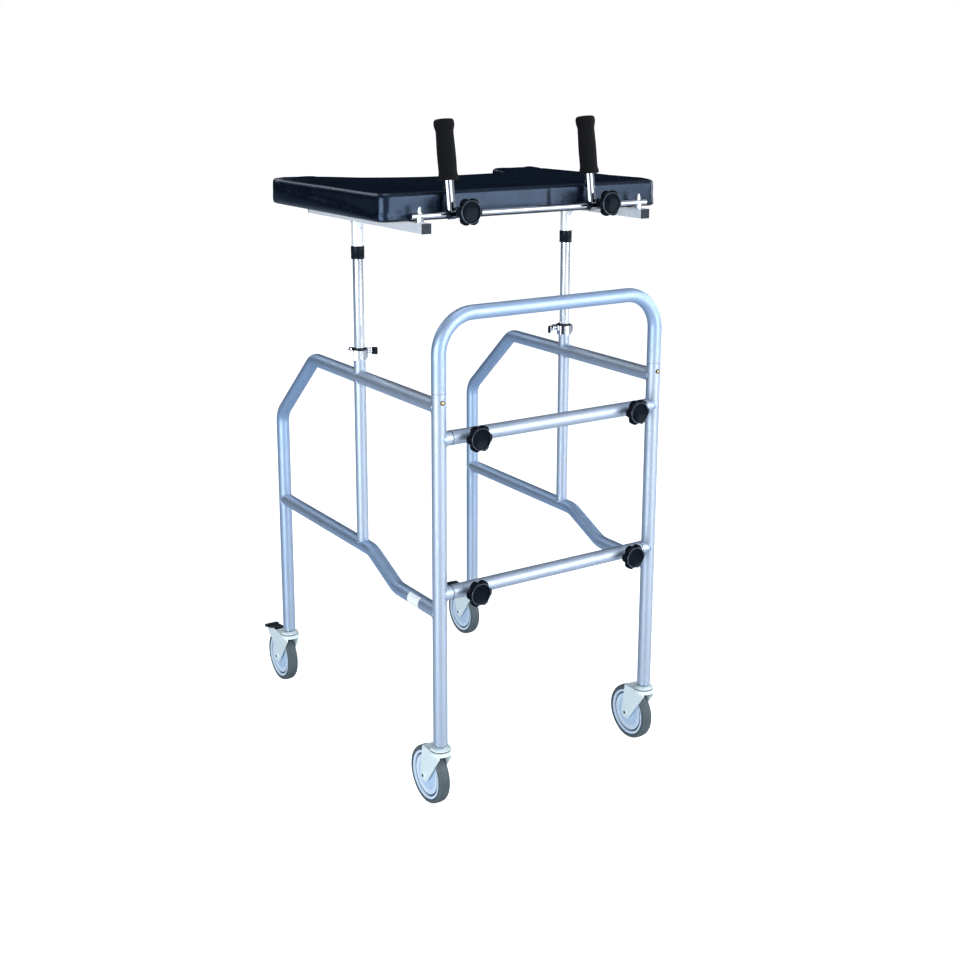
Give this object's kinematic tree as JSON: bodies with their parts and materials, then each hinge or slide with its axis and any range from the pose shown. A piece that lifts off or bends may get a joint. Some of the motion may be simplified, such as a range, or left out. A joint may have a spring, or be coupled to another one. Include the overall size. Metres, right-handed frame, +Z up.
{
  "type": "walking frame",
  "caption": "Upright walking frame: silver tube frame on swivel castors with rear brakes, height-adjustable padded forearm tray with a body cut-out, and two tilting hand grips.",
  "frame": {"origin": "on the floor, midway in length and in width", "axes": "+Z up, -Y the walking direction (towards the front hoop), +Y towards the person, +X to the right side of the picture"},
  "size_m": [0.696, 0.8844, 1.4152],
  "materials": {
    "frame_paint": "gloss",
    "chrome": "polished",
    "dark_chrome": "polished",
    "zinc": "satin",
    "black_plastic": "satin",
    "black_gloss": "gloss",
    "grip_foam": "matte",
    "tread_rubber": "matte",
    "wheel_plastic": "satin",
    "pad_vinyl": "satin",
    "board_wood": "matte",
    "brass": "satin"
  },
  "bodies": {
    "frame": {"front_leg_left": "frame_paint", "side_rail_left": "frame_paint", "lower_rail_left": "frame_paint", "centre_post_left": "frame_paint", "height_clamp_left": "chrome", "castor_head_front_left": "zinc", "castor_head_rear_left": "zinc", "front_leg_right": "frame_paint", "side_rail_right": "frame_paint", "lower_rail_right": "frame_paint", "centre_post_right": "frame_paint", "height_clamp_right": "chrome", "castor_head_front_right": "zinc", "castor_head_rear_right": "zinc", "front_hoop": "frame_paint", "crossbar_upper": "frame_paint", "crossbar_lower": "frame_paint"},
    "tray": {"handle_rod": "chrome", "arm_pad": "pad_vinyl", "pad_board": "board_wood", "tray_column_left": "chrome", "tray_tube_left": "chrome", "tray_plug_front_left": "black_plastic", "tray_plug_rear_left": "black_plastic", "rod_fixing_left": "chrome", "tray_column_right": "chrome", "tray_tube_right": "chrome", "tray_plug_front_right": "black_plastic", "tray_plug_rear_right": "black_plastic", "rod_fixing_right": "chrome"},
    "clamp_lever_left": {"clamp_lever_left": "chrome"},
    "spring_button_left": {"spring_button_left": "brass"},
    "star_knob_upper_left": {"star_knob_upper_left": "black_gloss"},
    "star_knob_lower_left": {"star_knob_lower_left": "black_gloss"},
    "handle_slider_left": {"handle_sleeve_left": "black_plastic"},
    "handle_left": {"handle_stem_left": "dark_chrome", "handle_grip_left": "grip_foam"},
    "handle_knob_left": {"handle_knob_left": "black_gloss"},
    "castor_fork_front_left": {"castor_fork_front_left": "zinc"},
    "castor_wheel_front_left": {"castor_tyre_front_left": "tread_rubber", "castor_wheel_front_left": "wheel_plastic"},
    "castor_fork_rear_left": {"castor_fork_rear_left": "zinc"},
    "castor_wheel_rear_left": {"castor_tyre_rear_left": "tread_rubber", "castor_wheel_rear_left": "wheel_plastic"},
    "brake_pedal_left": {"brake_pedal_left": "black_plastic"},
    "clamp_lever_right": {"clamp_lever_right": "chrome"},
    "spring_button_right": {"spring_button_right": "brass"},
    "star_knob_upper_right": {"star_knob_upper_right": "black_gloss"},
    "star_knob_lower_right": {"star_knob_lower_right": "black_gloss"},
    "handle_slider_right": {"handle_sleeve_right": "black_plastic"},
    "handle_right": {"handle_stem_right": "dark_chrome", "handle_grip_right": "grip_foam"},
    "handle_knob_right": {"handle_knob_right": "black_gloss"},
    "castor_fork_front_right": {"castor_fork_front_right": "zinc"},
    "castor_wheel_front_right": {"castor_tyre_front_right": "tread_rubber", "castor_wheel_front_right": "wheel_plastic"},
    "castor_fork_rear_right": {"castor_fork_rear_right": "zinc"},
    "castor_wheel_rear_right": {"castor_tyre_rear_right": "tread_rubber", "castor_wheel_rear_right": "wheel_plastic"},
    "brake_pedal_right": {"brake_pedal_right": "black_plastic"}
  },
  "joints": [
    {"name": "tray_height", "type": "slide", "parent": "frame", "child": "tray", "axis": [0, 0, 1], "range_m": [-0.18, 0.1]},
    {"name": "clamp_lever_left_open", "type": "hinge", "parent": "frame", "child": "clamp_lever_left", "pos_m": [-0.27706, -0.04723, 0.91475], "axis": [0, 0, 1], "range_deg": [0, 150]},
    {"name": "spring_button_left_press", "type": "slide", "parent": "frame", "child": "spring_button_left", "axis": [0, 1, 0], "range_m": [0, 0.0024], "stiffness_N_per_m": 500},
    {"name": "star_knob_upper_left_turn", "type": "hinge", "parent": "frame", "child": "star_knob_upper_left", "pos_m": [-0.2, -0.4147, 0.7999], "axis": [0, -1, 0], "range_deg": [0, 720]},
    {"name": "star_knob_lower_left_turn", "type": "hinge", "parent": "frame", "child": "star_knob_lower_left", "pos_m": [-0.2, -0.4147, 0.4762], "axis": [0, -1, 0], "range_deg": [0, 720]},
    {"name": "handle_left_along_rod", "type": "slide", "parent": "tray", "child": "handle_slider_left", "axis": [1, 0, 0], "range_m": [-0.04, 0.13]},
    {"name": "handle_left_tilt", "type": "hinge", "parent": "handle_slider_left", "child": "handle_left", "pos_m": [-0.199, -0.3294, 1.232], "axis": [1, 0, 0], "range_deg": [0, 35]},
    {"name": "handle_knob_left_turn", "type": "hinge", "parent": "handle_slider_left", "child": "handle_knob_left", "pos_m": [-0.1824, -0.3497, 1.238], "axis": [0, -1, 0], "range_deg": [0, 720]},
    {"name": "castor_front_left_swivel", "type": "hinge", "parent": "frame", "child": "castor_fork_front_left", "pos_m": [-0.271, -0.3964, 0.13], "axis": [0, 0, 1], "continuous": true},
    {"name": "castor_front_left_roll", "type": "hinge", "parent": "castor_fork_front_left", "child": "castor_wheel_front_left", "pos_m": [-0.271, -0.3549, 0.0625], "axis": [1, 0, 0], "continuous": true},
    {"name": "castor_rear_left_swivel", "type": "hinge", "parent": "frame", "child": "castor_fork_rear_left", "pos_m": [-0.271, 0.3262, 0.13], "axis": [0, 0, 1], "continuous": true},
    {"name": "castor_rear_left_roll", "type": "hinge", "parent": "castor_fork_rear_left", "child": "castor_wheel_rear_left", "pos_m": [-0.271, 0.3677, 0.0625], "axis": [1, 0, 0], "continuous": true},
    {"name": "brake_pedal_left_press", "type": "hinge", "parent": "castor_fork_rear_left", "child": "brake_pedal_left", "pos_m": [-0.271, 0.4112, 0.1165], "axis": [1, 0, 0], "range_deg": [-14, 0]},
    {"name": "clamp_lever_right_open", "type": "hinge", "parent": "frame", "child": "clamp_lever_right", "pos_m": [0.27706, -0.04723, 0.91475], "axis": [0, 0, -1], "range_deg": [0, 150]},
    {"name": "spring_button_right_press", "type": "slide", "parent": "frame", "child": "spring_button_right", "axis": [0, 1, 0], "range_m": [0, 0.0024], "stiffness_N_per_m": 500},
    {"name": "star_knob_upper_right_turn", "type": "hinge", "parent": "frame", "child": "star_knob_upper_right", "pos_m": [0.2, -0.4147, 0.7999], "axis": [0, -1, 0], "range_deg": [0, 720]},
    {"name": "star_knob_lower_right_turn", "type": "hinge", "parent": "frame", "child": "star_knob_lower_right", "pos_m": [0.2, -0.4147, 0.4762], "axis": [0, -1, 0], "range_deg": [0, 720]},
    {"name": "handle_right_along_rod", "type": "slide", "parent": "tray", "child": "handle_slider_right", "axis": [1, 0, 0], "range_m": [-0.11, 0.07]},
    {"name": "handle_right_tilt", "type": "hinge", "parent": "handle_slider_right", "child": "handle_right", "pos_m": [0.146, -0.3294, 1.232], "axis": [1, 0, 0], "range_deg": [0, 35]},
    {"name": "handle_knob_right_turn", "type": "hinge", "parent": "handle_slider_right", "child": "handle_knob_right", "pos_m": [0.1626, -0.3497, 1.238], "axis": [0, -1, 0], "range_deg": [0, 720]},
    {"name": "castor_front_right_swivel", "type": "hinge", "parent": "frame", "child": "castor_fork_front_right", "pos_m": [0.271, -0.3964, 0.13], "axis": [0, 0, 1], "continuous": true},
    {"name": "castor_front_right_roll", "type": "hinge", "parent": "castor_fork_front_right", "child": "castor_wheel_front_right", "pos_m": [0.271, -0.3549, 0.0625], "axis": [1, 0, 0], "continuous": true},
    {"name": "castor_rear_right_swivel", "type": "hinge", "parent": "frame", "child": "castor_fork_rear_right", "pos_m": [0.271, 0.3262, 0.13], "axis": [0, 0, 1], "continuous": true},
    {"name": "castor_rear_right_roll", "type": "hinge", "parent": "castor_fork_rear_right", "child": "castor_wheel_rear_right", "pos_m": [0.271, 0.3677, 0.0625], "axis": [1, 0, 0], "continuous": true},
    {"name": "brake_pedal_right_press", "type": "hinge", "parent": "castor_fork_rear_right", "child": "brake_pedal_right", "pos_m": [0.271, 0.4112, 0.1165], "axis": [1, 0, 0], "range_deg": [-14, 0]}
  ]
}
